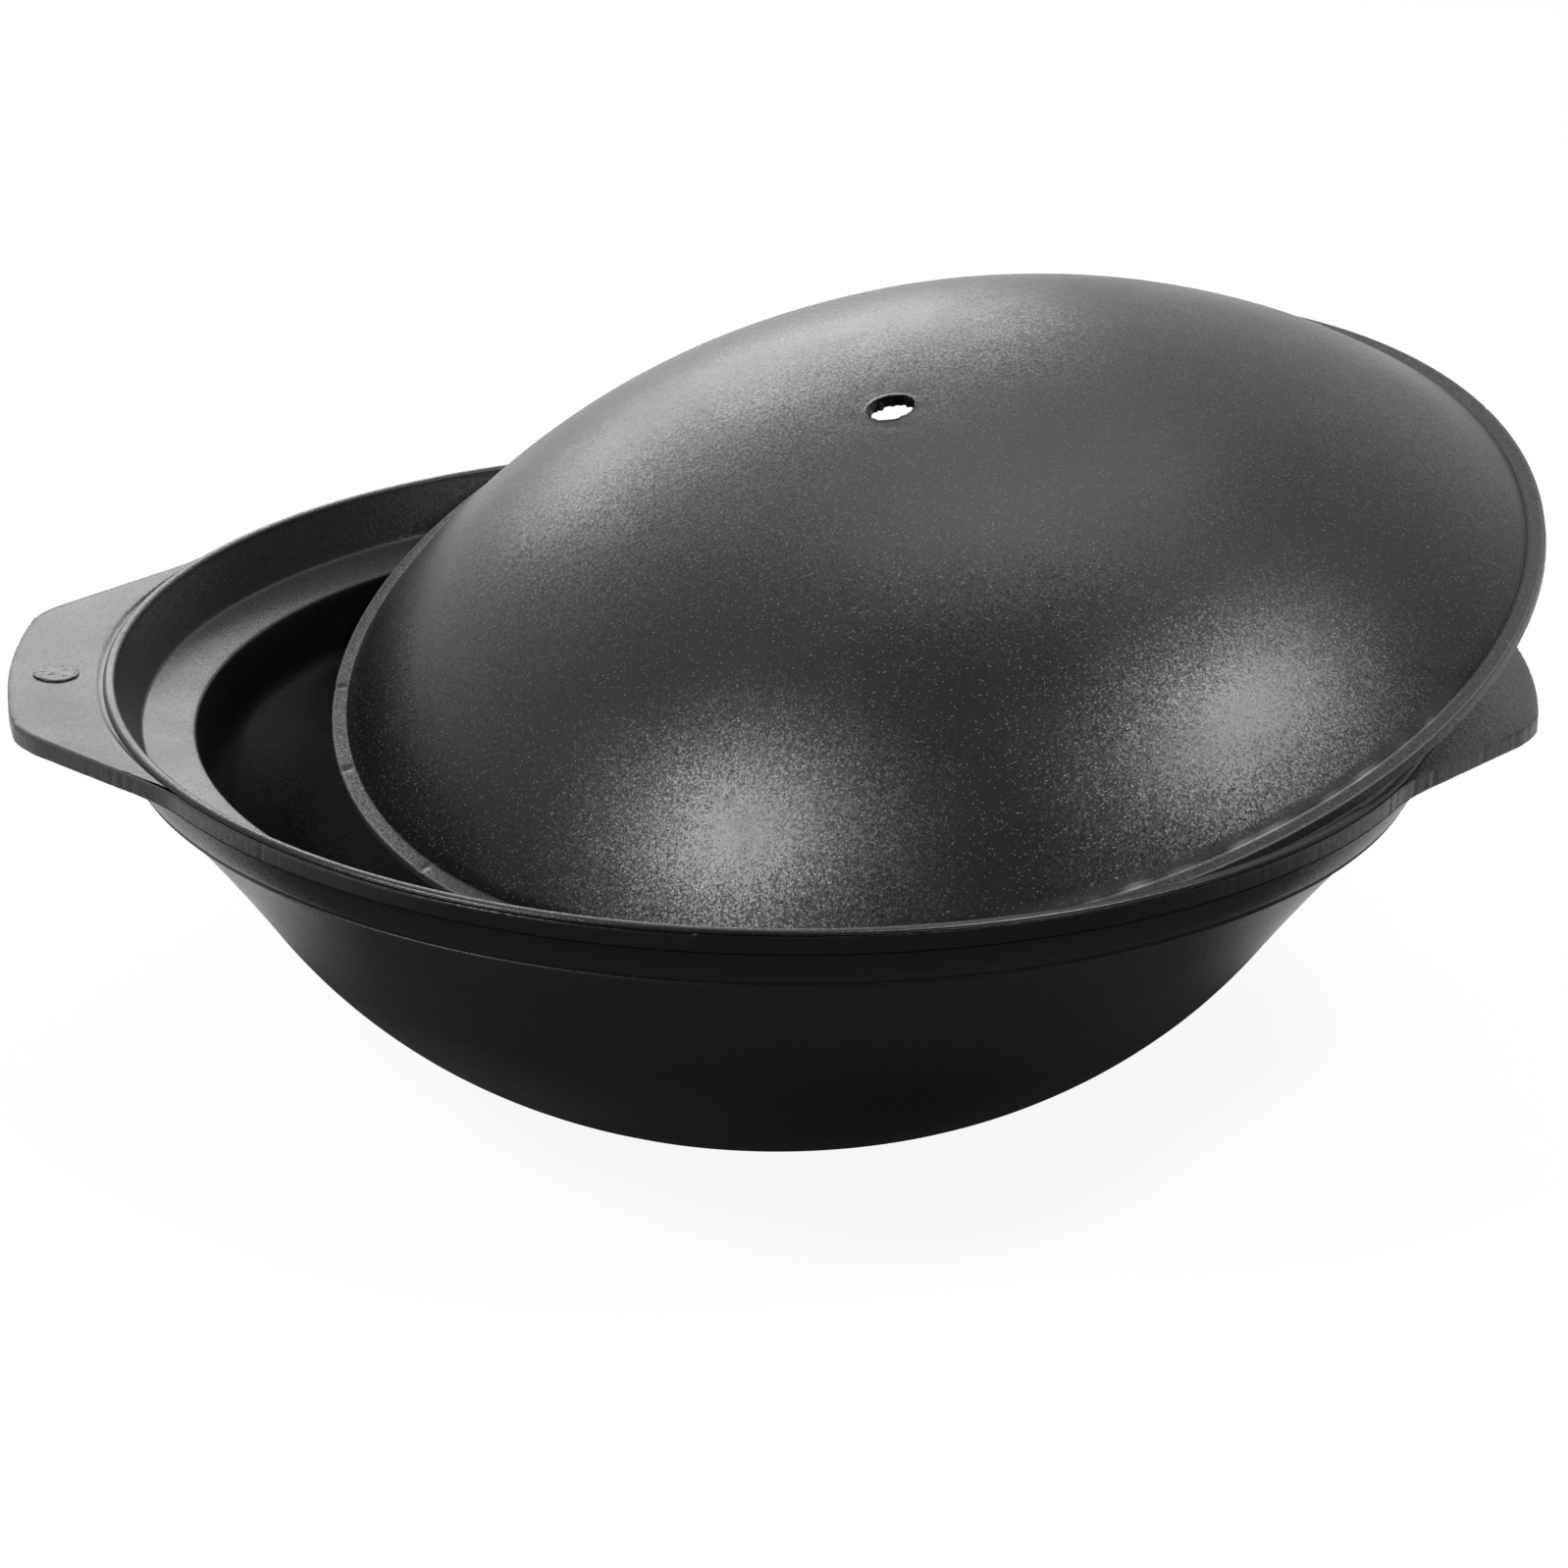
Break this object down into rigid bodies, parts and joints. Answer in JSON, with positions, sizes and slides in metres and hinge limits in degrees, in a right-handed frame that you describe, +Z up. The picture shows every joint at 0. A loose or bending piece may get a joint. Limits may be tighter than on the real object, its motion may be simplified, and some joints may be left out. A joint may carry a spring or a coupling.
{
  "type": "cooking pot with lid",
  "caption": "Round-bottomed cast aluminium cooking pot with flat lugs and an inner ledge, its domed lid leaning in the mouth.",
  "frame": {"origin": "centre of the flat foot under the bowl", "axes": "+Z up along the pot's axis, +X along the two lugs, towards the one that the leaning lid covers; the lid leans towards +X and +Y"},
  "size_m": [0.4158, 0.3824, 0.1913],
  "materials": {
    "pot_casting": "sand-cast aluminium with a satin black baked coating",
    "lid_casting": "sand-cast aluminium with a satin black baked coating, fine sparkle in the grain"
  },
  "bodies": {
    "pot_body": {"pot": "pot_casting"},
    "lid_body": {"lid": "lid_casting"}
  },
  "joints": [
    {"name": "lid_lift", "type": "slide", "parent": "pot_body", "child": "lid_body", "axis": [0, 0, 1], "range_m": [0, 0.2]}
  ]
}
